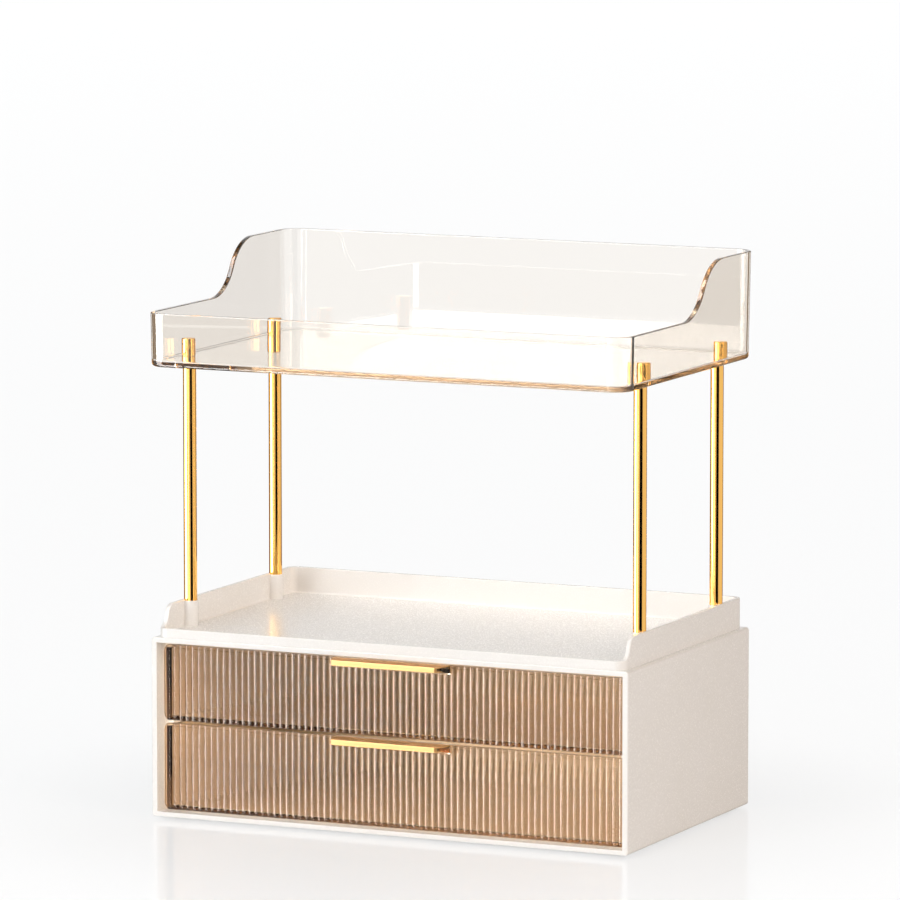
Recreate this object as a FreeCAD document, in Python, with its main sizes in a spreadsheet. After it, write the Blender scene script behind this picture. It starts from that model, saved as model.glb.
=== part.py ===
import FreeCAD, Part
import math
import os
import Sketcher

# Makeup organizer: a white housing with two fluted acrylic drawers, a white tray on its
# roof, and a clear upper tray carried by four gold rods.
# Millimetres. +Z is up, the drawers open towards -Y, and the origin is on the floor under
# the middle of the housing.

SIZES = [
    # housing
    ("housing_width", 310.0, "outer width of the housing"),
    ("housing_depth", 184.0, "outer depth of the housing"),
    ("housing_height", 108.5, "height of the housing without its feet"),
    ("housing_edge", 2.0, "radius of the four long outer edges"),
    ("rim_edge", 0.5, "chamfer round the front rim"),
    ("side_wall", 3.5, "side wall of the housing"),
    ("roof_wall", 3.0, "roof of the housing"),
    ("floor_wall", 3.0, "floor of the housing"),
    ("back_wall", 2.5, "back wall of the housing"),
    # feet
    ("foot_diameter", 10.0, "diameter of a foot"),
    ("foot_height", 1.5, "height of a foot"),
    ("foot_inset", 12.4, "from the housing's side and front to a foot's middle"),
    # ledges that carry the upper drawer
    ("ledge_width", 5.5, "how far a ledge stands out of the side wall"),
    ("ledge_height", 2.0, "height of a ledge"),
    ("ledge_setback", 0.7, "from the back of a drawer's front plate to the ledges"),
    # base tray
    ("base_side_inset", 3.5, "from the housing's side to the base tray"),
    ("base_front_inset", 0.8, "from the housing's front to the base tray"),
    ("base_rear_inset", 1.0, "from the housing's back to the base tray"),
    ("base_corner", 6.5, "corner radius of the base tray"),
    ("base_floor", 2.5, "floor of the base tray"),
    ("base_wall", 2.8, "wall of the base tray"),
    ("base_lip_height", 5.6, "height of the front lip"),
    ("base_side_height", 18.5, "height of the sides and the back"),
    ("base_curve_start", 2.4, "from the tray's front to the start of the S-curve"),
    ("base_curve_run", 15.5, "length of the S-curve"),
    ("base_rim_edge", 0.6, "chamfer round the outside of the base tray's rim"),
    ("socket_diameter", 9.5, "outer diameter of a rod socket"),
    ("socket_clearance", 0.1, "radial clearance of a rod in its socket"),
    # rods, caps and screws
    ("rod_diameter", 8.0, "diameter of a rod"),
    ("rod_length", 160.5, "length of a rod"),
    ("rod_side_inset", 8.3, "from the housing's side to a rod's middle"),
    ("rod_front_inset", 36.0, "from the housing's front to the front rods"),
    ("rod_rear_inset", 32.0, "from the housing's back to the rear rods"),
    ("thread_diameter", 4.0, "thread of the caps and the rod screws"),
    ("thread_clearance", 0.05, "radial clearance of a thread"),
    ("thread_depth", 14.0, "depth of a rod's threaded hole"),
    ("hole_clearance", 0.25, "radial clearance of a through hole"),
    ("cap_diameter", 8.3, "diameter of a cap"),
    ("cap_height", 10.5, "height of a cap"),
    ("cap_edge", 0.4, "chamfer of a cap's upper edge"),
    ("stem_length", 12.0, "length of a cap's threaded stem"),
    ("screw_head_diameter", 7.5, "head of a rod screw"),
    ("screw_head_height", 2.2, "height of the head of a rod screw"),
    ("screw_length", 13.0, "length of a rod screw under its head"),
    ("recess_width", 1.1, "width of the cross in a screw head"),
    ("recess_length", 4.0, "length of the cross in a screw head"),
    ("recess_depth", 1.1, "depth of the cross in a screw head"),
    # upper tray
    ("upper_side_overhang", 0.5, "from the housing's side out to the upper tray's floor"),
    ("upper_end_overhang", 5.5, "from the housing's front and back out to the upper tray's floor"),
    ("upper_corner", 12.0, "corner radius of the upper tray at its floor"),
    ("upper_floor", 3.0, "floor of the upper tray"),
    ("upper_wall", 3.0, "wall of the upper tray"),
    ("upper_low_height", 32.3, "height of the front wall"),
    ("upper_high_height", 65.2, "height of the back wall"),
    ("upper_curve_middle", 17.0, "from the housing's middle back to the middle of the S-curve"),
    ("upper_curve_run", 57.0, "length of the S-curve"),
    ("wall_draft", 1.0, "degrees that the walls of the upper tray lean outwards"),
    ("upper_rim_edge", 0.8, "chamfer round the outside of the upper tray's rim"),
    ("upper_floor_round", 2.2, "rounded lower edge of the upper tray"),
    ("trim", 4.0, "what is cut off above a tray's rim line"),
    # drawers
    ("running_gap", 0.3, "below a running drawer"),
    ("front_side_gap", 0.8, "between a drawer front and the housing's side wall"),
    ("front_recess", 7.5, "from the rim back to the crests of the flutes"),
    ("lower_front_share", 0.5346, "the lower drawer front's share of both fronts' height"),
    ("roof_gap", 2.2, "between the upper drawer's front and the roof"),
    ("front_gap", 1.8, "between the two drawer fronts"),
    ("front_corner", 3.5, "corner radius of a drawer front"),
    ("plate_thickness", 2.6, "drawer front behind the flutes"),
    ("flute_count", 72, "flutes on a drawer front"),
    ("flute_height", 0.6, "height of a flute"),
    ("flute_valley", 0.25, "flat valley between two flutes"),
    ("flute_margin", 1.3, "plain strip at each end of a drawer front"),
    ("bin_side_inset", 1.5, "from the end of the front plate to the bin's side"),
    ("bin_wall", 2.0, "wall of the bin"),
    ("bin_floor", 2.0, "floor of the bin"),
    ("bin_drop", 2.0, "from the top of the front down to the bin's rim"),
    ("bin_corner", 5.0, "radius of the bin's rear corners"),
    ("bin_edge", 1.2, "chamfer of the bin's lower edges"),
    ("rear_gap", 0.3, "between a closed drawer and the housing's back wall"),
    # lip and handle of a drawer
    ("handle_reach", 12.0, "from the crests of the flutes to the front of the handle"),
    ("handle_height", 3.0, "height of the handle"),
    ("handle_cover", 0.6, "thickness of the handle above and below the lip"),
    ("handle_web", 1.2, "thickness of the handle in front of the lip"),
    ("handle_flange", 4.0, "depth of the handle's lower flange"),
    ("handle_front_width", 66.6, "width of the handle's front face"),
    ("handle_rear_width", 76.0, "width of the handle at the drawer front"),
    ("handle_chamfer", 2.3, "chamfer at the ends of the handle's front face"),
    ("handle_rear_gap", 0.2, "between the handle and the crests of the flutes"),
    ("lip_root", 5.2, "height of the lip where it meets the drawer front"),
]

doc = FreeCAD.newDocument("MakeupOrganizer")
sheet = doc.addObject("Spreadsheet::Sheet", "Sizes")
for row, (alias, number, note) in enumerate(SIZES, start=1):
    sheet.set(f"A{row}", note)
    sheet.set(f"B{row}", str(number))
    sheet.setAlias(f"B{row}", alias)
doc.recompute()


def sized(expression):
    """Write an expression of plain aliases with the sheet's name before each alias."""
    words = expression.replace("(", " ( ").replace(")", " ) ").split()
    aliases = {alias for alias, _, _ in SIZES}
    return " ".join("Sizes." + word if word in aliases else word for word in words)


def value(expression):
    """The number that an expression of aliases comes to."""
    return float(sheet.evalExpression(sized(expression)))


# Levels and places that several pieces share, as expressions of the sheet's aliases.
FRONT = "( - housing_depth / 2 )"
REAR = "( housing_depth / 2 )"
FLOOR_TOP = "( foot_height + floor_wall )"
ROOF_TOP = "( foot_height + housing_height )"
ROOF_UNDERSIDE = f"( {ROOF_TOP} - roof_wall )"
OPENING_HALF = "( housing_width / 2 - side_wall )"
OPENING_REAR = f"( {REAR} - back_wall )"

BASE_TRAY_FLOOR = f"( {ROOF_TOP} + base_floor )"
UPPER_TRAY_UNDERSIDE = f"( {BASE_TRAY_FLOOR} + rod_length )"
UPPER_TRAY_FLOOR = f"( {UPPER_TRAY_UNDERSIDE} + upper_floor )"

ROD_X = "( housing_width / 2 - rod_side_inset )"
ROD_FRONT_Y = f"( {FRONT} + rod_front_inset )"
ROD_REAR_Y = f"( {REAR} - rod_rear_inset )"

LOWER_FRONT_BOTTOM = f"( {FLOOR_TOP} + running_gap )"
UPPER_FRONT_TOP = f"( {ROOF_UNDERSIDE} - roof_gap )"
FRONTS_HEIGHT = f"( {UPPER_FRONT_TOP} - {LOWER_FRONT_BOTTOM} - front_gap )"
LOWER_FRONT_TOP = f"( {LOWER_FRONT_BOTTOM} + lower_front_share * {FRONTS_HEIGHT} )"
UPPER_FRONT_BOTTOM = f"( {LOWER_FRONT_TOP} + front_gap )"
LEDGE_TOP = f"( {UPPER_FRONT_BOTTOM} - running_gap )"

CREST_Y = f"( {FRONT} + front_recess )"
PLATE_FRONT_Y = f"( {CREST_Y} + flute_height )"
PLATE_REAR_Y = f"( {PLATE_FRONT_Y} + plate_thickness )"
LEDGE_FRONT_Y = f"( {PLATE_REAR_Y} + ledge_setback )"
FRONT_HALF = f"( {OPENING_HALF} - front_side_gap )"
HANDLE_FRONT_Y = f"( {CREST_Y} - handle_reach )"
HANDLE_REAR_Y = f"( {CREST_Y} - handle_rear_gap )"

CORNERS = {
    "front_left": (f"( - {ROD_X} )", ROD_FRONT_Y),
    "front_right": (ROD_X, ROD_FRONT_Y),
    "rear_left": (f"( - {ROD_X} )", ROD_REAR_Y),
    "rear_right": (ROD_X, ROD_REAR_Y),
}


def new_body(name):
    """An empty body whose label is the name of its file."""
    body = doc.addObject("PartDesign::Body", name)
    body.Label = name
    return body


def sketch_on(body, name, role, offset="0"):
    """A sketch on one of the body's origin planes, moved along that plane's normal."""
    sketch = body.newObject("Sketcher::SketchObject", name)
    plane = next(item for item in body.Origin.OriginFeatures if item.Role == role)
    sketch.AttachmentSupport = [(plane, "")]
    sketch.MapMode = "FlatFace"
    sketch.setExpression("AttachmentOffset.Base.z", sized(offset))
    return sketch


def bind(sketch, kind, *arguments):
    """Add a constraint whose last argument is an expression of the sheet's aliases."""
    *places, expression = arguments
    index = sketch.addConstraint(Sketcher.Constraint(kind, *places, value(expression)))
    sketch.setExpression(f"Constraints[{index}]", sized(expression))


def pin_point(sketch, edge, end, x, y):
    """Hold one end of an edge at a place that is given by two expressions."""
    for kind, axis, place in (("DistanceX", -2, x), ("DistanceY", -1, y)):
        if abs(value(place)) < 1e-9:
            sketch.addConstraint(Sketcher.Constraint("PointOnObject", edge, end, axis))
        else:
            bind(sketch, kind, -1, 1, edge, end, place)


def arc_between(start, end, centre):
    """The shorter arc about a centre from one point to another."""
    first = math.atan2(start.y - centre.y, start.x - centre.x)
    last = math.atan2(end.y - centre.y, end.x - centre.x)
    if (last - first) % (2 * math.pi) > math.pi:
        first, last = last, first
    circle = Part.Circle(centre, FreeCAD.Vector(0, 0, 1), start.distanceToPoint(centre))
    return Part.ArcOfCircle(circle, first, last)


def outline(sketch, corners):
    """A closed outline through corners given by expressions.

    A corner is (x, y) where a straight edge leaves it, or (x, y, "above") or
    (x, y, "below") where an arc leaves it. The centre of such an arc is straight above
    or below the end of the arc that is level, which keeps an S-curve smooth.
    """
    points = [FreeCAD.Vector(value(corner[0]), value(corner[1]), 0) for corner in corners]
    edges = []
    for index, corner in enumerate(corners):
        start = points[index]
        end = points[(index + 1) % len(points)]
        if len(corner) == 2:
            edges.append((sketch.addGeometry(Part.LineSegment(start, end)), 1, 2, None))
            continue
        level, other = (start, end) if corner[2] == "above" else (end, start)
        run = other.x - level.x
        rise = other.y - level.y
        radius = (run ** 2 + rise ** 2) / (2 * rise)
        centre = FreeCAD.Vector(level.x, level.y + radius, 0)
        arc = arc_between(start, end, centre)
        edge = sketch.addGeometry(arc)
        begins = 1 if arc.StartPoint.distanceToPoint(start) < 1e-6 else 2
        edges.append((edge, begins, 3 - begins, begins if corner[2] == "above" else 3 - begins))
    for index, corner in enumerate(corners):
        edge, begins, _, level_end = edges[index]
        previous, _, ends, _ = edges[index - 1]
        sketch.addConstraint(Sketcher.Constraint("Coincident", previous, ends, edge, begins))
        pin_point(sketch, edge, begins, corner[0], corner[1])
        if level_end is not None:
            sketch.addConstraint(Sketcher.Constraint("Vertical", edge, 3, edge, level_end))


def rectangle(sketch, x_low, x_high, y_low, y_high):
    """A rectangle between four expressions."""
    outline(sketch, [(x_low, y_low), (x_high, y_low), (x_high, y_high), (x_low, y_high)])


def rounded_rectangle(sketch, x_low, x_high, y_low, y_high, radius):
    """A rectangle between four expressions with equal round corners."""
    left, right = value(x_low), value(x_high)
    bottom, top = value(y_low), value(y_high)
    corner = value(radius)
    vector = FreeCAD.Vector
    sides = [
        (vector(left + corner, bottom, 0), vector(right - corner, bottom, 0)),
        (vector(right, bottom + corner, 0), vector(right, top - corner, 0)),
        (vector(right - corner, top, 0), vector(left + corner, top, 0)),
        (vector(left, top - corner, 0), vector(left, bottom + corner, 0)),
    ]
    centres = [
        vector(right - corner, bottom + corner, 0),
        vector(right - corner, top - corner, 0),
        vector(left + corner, top - corner, 0),
        vector(left + corner, bottom + corner, 0),
    ]
    lines = [sketch.addGeometry(Part.LineSegment(*side)) for side in sides]
    arcs = []
    for index, centre in enumerate(centres):
        start = sides[index][1]
        end = sides[(index + 1) % 4][0]
        arcs.append(sketch.addGeometry(arc_between(start, end, centre)))
    for index in range(4):
        following = lines[(index + 1) % 4]
        sketch.addConstraint(Sketcher.Constraint("Tangent", lines[index], 2, arcs[index], 1))
        sketch.addConstraint(Sketcher.Constraint("Tangent", arcs[index], 2, following, 1))
    for index, kind in enumerate(("Horizontal", "Vertical", "Horizontal", "Vertical")):
        sketch.addConstraint(Sketcher.Constraint(kind, lines[index]))
    for arc in arcs[1:]:
        sketch.addConstraint(Sketcher.Constraint("Equal", arcs[0], arc))
    bind(sketch, "Radius", arcs[0], radius)
    bind(sketch, "DistanceX", -1, 1, lines[3], 1, x_low)
    bind(sketch, "DistanceX", -1, 1, lines[1], 1, x_high)
    bind(sketch, "DistanceY", -1, 1, lines[0], 1, y_low)
    bind(sketch, "DistanceY", -1, 1, lines[2], 1, y_high)


def circle(sketch, x, y, radius):
    """A circle whose centre and radius are expressions."""
    centre = FreeCAD.Vector(value(x), value(y), 0)
    edge = sketch.addGeometry(Part.Circle(centre, FreeCAD.Vector(0, 0, 1), value(radius)))
    pin_point(sketch, edge, 3, x, y)
    bind(sketch, "Radius", edge, radius)


def extrude(body, sketch, name, length, kind="Pad", forwards=True, draft=None, both=False):
    """Pad or pocket a sketch by a length that is an expression."""
    before = body.Shape.Volume if body.Tip else 0.0
    feature = body.newObject("PartDesign::" + kind, name)
    feature.Profile = sketch
    feature.Reversed = not forwards
    if both:
        feature.SideType = "Symmetric"
    feature.setExpression("Length", sized(length))
    if draft:
        feature.setExpression("TaperAngle", sized(draft))
    doc.recompute()
    after = body.Shape.Volume
    if (kind == "Pocket") != (after < before):
        raise RuntimeError(f"{body.Label}: {name} points away from the solid")
    return feature


def dress(body, kind, name, size, test):
    """Fillet or chamfer the edges of the tip that a test picks."""
    tip = body.Tip
    edges = enumerate(tip.Shape.Edges, start=1)
    picked = [f"Edge{number}" for number, edge in edges if test(edge)]
    if not picked:
        raise RuntimeError(f"{body.Label}: {name} finds no edge")
    feature = body.newObject("PartDesign::" + kind, name)
    feature.Base = (tip, picked)
    feature.setExpression("Radius" if kind == "Fillet" else "Size", sized(size))
    doc.recompute()
    return feature


def near(first, second):
    """Whether two lengths are the same."""
    return abs(first - second) < 1e-3


def is_level(edge, height):
    """Whether an edge lies wholly at one height."""
    box = edge.BoundBox
    return near(box.ZMin, height) and near(box.ZMax, height)


def make_housing():
    """The shell: one moulding with a wide front opening and two ledges for the upper drawer."""
    body = new_body("housing")
    section = sketch_on(body, "shell_section", "XZ_Plane", f"- {REAR}")
    half = "( housing_width / 2 )"
    rounded_rectangle(section, f"- {half}", half, "foot_height", ROOF_TOP, "housing_edge")
    extrude(body, section, "shell", "housing_depth")

    front = value(FRONT)
    dress(body, "Chamfer", "rim_chamfer", "rim_edge", lambda edge: near(edge.BoundBox.YMax, front))

    opening = sketch_on(body, "opening_section", "XZ_Plane", f"- {FRONT}")
    rectangle(opening, f"- {OPENING_HALF}", OPENING_HALF, FLOOR_TOP, ROOF_UNDERSIDE)
    extrude(body, opening, "opening", "housing_depth - back_wall", "Pocket")

    ledges = sketch_on(body, "ledge_sections", "XZ_Plane", f"- {OPENING_REAR}")
    ledge_bottom = f"( {LEDGE_TOP} - ledge_height )"
    ledge_inner = f"( {OPENING_HALF} - ledge_width )"
    rectangle(ledges, f"- {OPENING_HALF}", f"- {ledge_inner}", ledge_bottom, LEDGE_TOP)
    rectangle(ledges, ledge_inner, OPENING_HALF, ledge_bottom, LEDGE_TOP)
    extrude(body, ledges, "ledges", f"{OPENING_REAR} - {LEDGE_FRONT_Y}")

    holes = sketch_on(body, "screw_hole_places", "XY_Plane", ROOF_TOP)
    for x, y in CORNERS.values():
        circle(holes, x, y, "( thread_diameter / 2 + hole_clearance )")
    extrude(body, holes, "screw_holes", "roof_wall", "Pocket")
    return body


def make_foot(place, x, y):
    """A soft round pad under one corner of the housing."""
    body = new_body("foot_" + place)
    plan = sketch_on(body, "foot_plan", "XY_Plane")
    circle(plan, x, y, "( foot_diameter / 2 )")
    extrude(body, plan, "pad", "foot_height")
    return body


def make_base_tray():
    """The white tray: a low front lip, S-curved sides and four sockets for the rods."""
    body = new_body("base_tray")
    half = "( housing_width / 2 - base_side_inset )"
    front = f"( {FRONT} + base_front_inset )"
    rear = f"( {REAR} - base_rear_inset )"
    rim_top = f"( {ROOF_TOP} + base_side_height )"
    lip_top = f"( {ROOF_TOP} + base_lip_height )"

    plan = sketch_on(body, "tray_plan", "XY_Plane", ROOF_TOP)
    rounded_rectangle(plan, f"- {half}", half, front, rear, "base_corner")
    extrude(body, plan, "tray_block", "base_side_height + trim")

    side = sketch_on(body, "rim_line", "YZ_Plane")
    curve_start = f"( {front} + base_curve_start )"
    cut_rim(side, front, rear, curve_start, "base_curve_run", lip_top, rim_top)
    extrude(body, side, "rim_cut", "housing_width", "Pocket", both=True)
    break_rim_edge(body, lip_top, "base_rim_edge")

    inside = sketch_on(body, "inside_plan", "XY_Plane", BASE_TRAY_FLOOR)
    inner_half = f"( {half} - base_wall )"
    inner_corner = "( base_corner - base_wall )"
    inner_front = f"( {front} + base_wall )"
    inner_rear = f"( {rear} - base_wall )"
    rounded_rectangle(inside, f"- {inner_half}", inner_half, inner_front, inner_rear, inner_corner)
    inside_depth = "( base_side_height - base_floor )"
    extrude(body, inside, "inside", inside_depth, "Pocket", forwards=False)

    sockets = sketch_on(body, "socket_places", "XY_Plane", BASE_TRAY_FLOOR)
    for x, y in CORNERS.values():
        circle(sockets, x, y, "( socket_diameter / 2 )")
    extrude(body, sockets, "sockets", f"{inside_depth} - base_rim_edge")

    bores = sketch_on(body, "bore_places", "XY_Plane", BASE_TRAY_FLOOR)
    for x, y in CORNERS.values():
        circle(bores, x, y, "( rod_diameter / 2 + socket_clearance )")
    extrude(body, bores, "rod_bores", inside_depth, "Pocket", forwards=False)

    holes = sketch_on(body, "screw_hole_places", "XY_Plane", BASE_TRAY_FLOOR)
    for x, y in CORNERS.values():
        circle(holes, x, y, "( thread_diameter / 2 + hole_clearance )")
    extrude(body, holes, "screw_holes", "base_floor", "Pocket")
    return body


def cut_rim(side, front, rear, curve_start, curve_run, low, high):
    """What lies above a tray's rim line: low in front, an S-curve, high behind."""
    ahead = f"( {front} - trim )"
    behind = f"( {rear} + trim )"
    over = f"( {high} + trim + trim )"
    outline(side, [
        (ahead, low),
        (curve_start, low, "above"),
        (f"( {curve_start} + {curve_run} / 2 )", f"( ( {low} + {high} ) / 2 )", "below"),
        (f"( {curve_start} + {curve_run} )", high),
        (behind, high),
        (behind, over),
        (ahead, over),
    ])


def break_rim_edge(body, low, size):
    """Chamfer the outside of a tray's rim, before the tray's inside is cut."""
    bottom = value(low) - 1e-3
    depth = body.Shape.BoundBox.YLength

    def on_rim(edge):
        box = edge.BoundBox
        crosses = near(box.YLength, 0.0) and near(box.ZLength, 0.0)
        inboard = abs(box.Center.y) < depth / 2 - value("trim")
        return box.ZMin > bottom and not (crosses and inboard)

    dress(body, "Chamfer", "rim_edge", size, on_rim)


def make_upper_tray():
    """The clear tray: drafted walls, low in front, S-curved sides and a high back."""
    body = new_body("upper_tray")
    half = "( housing_width / 2 + upper_side_overhang )"
    half_depth = "( housing_depth / 2 + upper_end_overhang )"
    low = f"( {UPPER_TRAY_UNDERSIDE} + upper_low_height )"
    high = f"( {UPPER_TRAY_UNDERSIDE} + upper_high_height )"

    plan = sketch_on(body, "tray_plan", "XY_Plane", UPPER_TRAY_UNDERSIDE)
    rounded_rectangle(plan, f"- {half}", half, f"- {half_depth}", half_depth, "upper_corner")
    extrude(body, plan, "tray_block", "upper_high_height + trim", draft="wall_draft")
    underside = value(UPPER_TRAY_UNDERSIDE)
    dress(body, "Fillet", "floor_round", "upper_floor_round", lambda edge: is_level(edge, underside))

    side = sketch_on(body, "rim_line", "YZ_Plane")
    curve_start = "( upper_curve_middle - upper_curve_run / 2 )"
    cut_rim(side, f"( - {half_depth} )", half_depth, curve_start, "upper_curve_run", low, high)
    extrude(body, side, "rim_cut", f"2 * {half} + 4 * trim", "Pocket", both=True)
    break_rim_edge(body, low, "upper_rim_edge")

    inside = sketch_on(body, "inside_plan", "XY_Plane", UPPER_TRAY_FLOOR)
    inner_half = f"( {half} - upper_wall )"
    inner_depth = f"( {half_depth} - upper_wall )"
    inner_corner = "( upper_corner - upper_wall )"
    rounded_rectangle(inside, f"- {inner_half}", inner_half, f"- {inner_depth}", inner_depth, inner_corner)
    inside_depth = "( upper_high_height + trim - upper_floor )"
    extrude(body, inside, "inside", inside_depth, "Pocket", forwards=False, draft="wall_draft")

    holes = sketch_on(body, "stem_hole_places", "XY_Plane", UPPER_TRAY_FLOOR)
    for x, y in CORNERS.values():
        circle(holes, x, y, "( thread_diameter / 2 + hole_clearance )")
    extrude(body, holes, "stem_holes", "upper_floor", "Pocket")
    return body


def make_rod(place, x, y):
    """A gold rod with a threaded hole in each end."""
    body = new_body("rod_" + place)
    plan = sketch_on(body, "rod_plan", "XY_Plane", BASE_TRAY_FLOOR)
    circle(plan, x, y, "( rod_diameter / 2 )")
    extrude(body, plan, "rod", "rod_length")
    for name, level, forwards in (("lower", BASE_TRAY_FLOOR, False), ("upper", UPPER_TRAY_UNDERSIDE, True)):
        thread = sketch_on(body, f"{name}_thread_place", "XY_Plane", level)
        circle(thread, x, y, "( thread_diameter / 2 + thread_clearance )")
        extrude(body, thread, f"{name}_thread", "thread_depth", "Pocket", forwards)
    return body


def make_cap(place, x, y):
    """A gold cap whose threaded stem goes through the upper tray into a rod."""
    body = new_body("rod_cap_" + place)
    plan = sketch_on(body, "cap_plan", "XY_Plane", UPPER_TRAY_FLOOR)
    circle(plan, x, y, "( cap_diameter / 2 )")
    extrude(body, plan, "cap", "cap_height")
    top = value(f"{UPPER_TRAY_FLOOR} + cap_height")
    dress(body, "Chamfer", "top_chamfer", "cap_edge", lambda edge: is_level(edge, top))
    stem = sketch_on(body, "stem_plan", "XY_Plane", UPPER_TRAY_FLOOR)
    circle(stem, x, y, "( thread_diameter / 2 )")
    extrude(body, stem, "stem", "stem_length", forwards=False)
    return body


def make_rod_screw(place, x, y):
    """A screw from inside the housing's roof into the lower end of a rod."""
    body = new_body("rod_screw_" + place)
    shank = sketch_on(body, "shank_plan", "XY_Plane", ROOF_UNDERSIDE)
    circle(shank, x, y, "( thread_diameter / 2 )")
    extrude(body, shank, "shank", "screw_length")
    head = sketch_on(body, "head_plan", "XY_Plane", ROOF_UNDERSIDE)
    circle(head, x, y, "( screw_head_diameter / 2 )")
    extrude(body, head, "head", "screw_head_height", forwards=False)
    for name, wide, tall in (
        ("cross_bar", "( recess_length / 2 )", "( recess_width / 2 )"),
        ("cross_upright", "( recess_width / 2 )", "( recess_length / 2 )"),
    ):
        cross = sketch_on(body, name + "_plan", "XY_Plane", f"( {ROOF_UNDERSIDE} - screw_head_height )")
        rectangle(cross, f"( {x} - {wide} )", f"( {x} + {wide} )", f"( {y} - {tall} )", f"( {y} + {tall} )")
        extrude(body, cross, name, "recess_depth", "Pocket", forwards=False)
    return body


def make_drawer(name, bottom, top):
    """A drawer in one moulding: fluted front plate, bin and handle lip."""
    body = new_body(name)
    bin_half = f"( {FRONT_HALF} - bin_side_inset )"
    bin_rear = f"( {OPENING_REAR} - rear_gap )"
    bin_top = f"( {top} - bin_drop )"

    plan = sketch_on(body, "bin_plan", "XY_Plane", bottom)
    rectangle(plan, f"- {bin_half}", bin_half, PLATE_FRONT_Y, bin_rear)
    extrude(body, plan, "bin_block", f"{bin_top} - {bottom}")
    rear = value(bin_rear)

    def upright_at_rear(edge):
        return near(edge.BoundBox.YMin, rear) and near(edge.BoundBox.XLength, 0.0)

    dress(body, "Fillet", "rear_corners", "bin_corner", upright_at_rear)
    low = value(bottom)
    plate_front = value(PLATE_FRONT_Y)

    def low_edge(edge):
        return is_level(edge, low) and not near(edge.BoundBox.YMax, plate_front)

    dress(body, "Chamfer", "bin_edges", "bin_edge", low_edge)

    inside = sketch_on(body, "inside_plan", "XY_Plane", f"( {bottom} + bin_floor )")
    inner_half = f"( {bin_half} - bin_wall )"
    inner_rear = f"( {bin_rear} - bin_wall )"
    inner_corner = "( bin_corner - bin_wall )"
    rounded_rectangle(inside, f"- {inner_half}", inner_half, PLATE_REAR_Y, inner_rear, inner_corner)
    extrude(body, inside, "inside", "housing_height", "Pocket", forwards=False)

    front = sketch_on(body, "front_outline", "XZ_Plane", f"- {PLATE_FRONT_Y}")
    rounded_rectangle(front, f"- {FRONT_HALF}", FRONT_HALF, bottom, top, "front_corner")
    extrude(body, front, "front_plate", "plate_thickness", forwards=False)

    make_flutes(body, bottom, top)
    make_lip(body, top)
    return body


def make_flutes(body, bottom, top):
    """A row of upright convex flutes, trimmed to the round corners of the front."""
    pitch = f"( 2 * ( {FRONT_HALF} - flute_margin ) / flute_count )"
    first_left = f"( - {FRONT_HALF} + flute_margin + flute_valley / 2 )"
    first_right = f"( {first_left} + {pitch} - flute_valley )"
    flute = sketch_on(body, "flute_section", "XY_Plane", bottom)
    left = FreeCAD.Vector(value(first_left), value(PLATE_FRONT_Y), 0)
    right = FreeCAD.Vector(value(first_right), value(PLATE_FRONT_Y), 0)
    crest = FreeCAD.Vector((left.x + right.x) / 2, value(CREST_Y), 0)
    chord = flute.addGeometry(Part.LineSegment(left, right))
    arc = flute.addGeometry(Part.Arc(left, crest, right))
    flute.addConstraint(Sketcher.Constraint("Coincident", chord, 1, arc, 1))
    flute.addConstraint(Sketcher.Constraint("Coincident", chord, 2, arc, 2))
    pin_point(flute, chord, 1, first_left, PLATE_FRONT_Y)
    pin_point(flute, chord, 2, first_right, PLATE_FRONT_Y)
    half_chord = f"( ( {pitch} - flute_valley ) / 2 )"
    radius = f"( ( {half_chord} * {half_chord} + flute_height * flute_height ) / ( 2 * flute_height ) )"
    bind(flute, "Radius", arc, radius)
    rib = extrude(body, flute, "flute", f"{top} - {bottom}")

    row = body.newObject("PartDesign::LinearPattern", "flute_row")
    row.Originals = [rib]
    row.Direction = (flute, ["H_Axis"])
    row.setExpression("Length", sized(f"{pitch} * ( flute_count - 1 )"))
    row.setExpression("Occurrences", sized("flute_count"))
    body.Tip = row
    doc.recompute()

    trim = sketch_on(body, "front_trim", "XZ_Plane", f"- {CREST_Y}")
    wide = f"( {FRONT_HALF} + front_corner )"
    rectangle(trim, f"- {wide}", wide, f"( {bottom} - front_corner )", f"( {top} + front_corner )")
    rounded_rectangle(trim, f"- {FRONT_HALF}", FRONT_HALF, bottom, top, "front_corner")
    extrude(body, trim, "front_trimming", "flute_height", "Pocket")


def plan_half_widths():
    """Half the width of the handle at its front face, behind its chamfer and at its rear."""
    front = "( handle_front_width / 2 )"
    chamfered = "( handle_front_width / 2 + handle_chamfer )"
    rear = "( handle_rear_width / 2 )"
    return front, chamfered, rear


def trim_ends(body, name, front_y, rear_y, level, height):
    """Cut the slanted and chamfered ends that the lip and the handle share in plan."""
    front_half, chamfer_half, rear_half = plan_half_widths()
    chamfer_y = f"( {front_y} + handle_chamfer )"
    outside = f"( {rear_half} + trim )"
    for side, sign in (("left", "-"), ("right", "")):
        ends = sketch_on(body, f"{name}_{side}_plan", "XY_Plane", level)
        outline(ends, [
            (f"( {sign} {outside} )", f"( {front_y} - trim )"),
            (f"( {sign} {front_half} )", f"( {front_y} - trim )"),
            (f"( {sign} {front_half} )", front_y),
            (f"( {sign} {chamfer_half} )", chamfer_y),
            (f"( {sign} {rear_half} )", rear_y),
            (f"( {sign} {outside} )", rear_y),
        ])
        extrude(body, ends, f"{name}_{side}", height, "Pocket")


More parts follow.
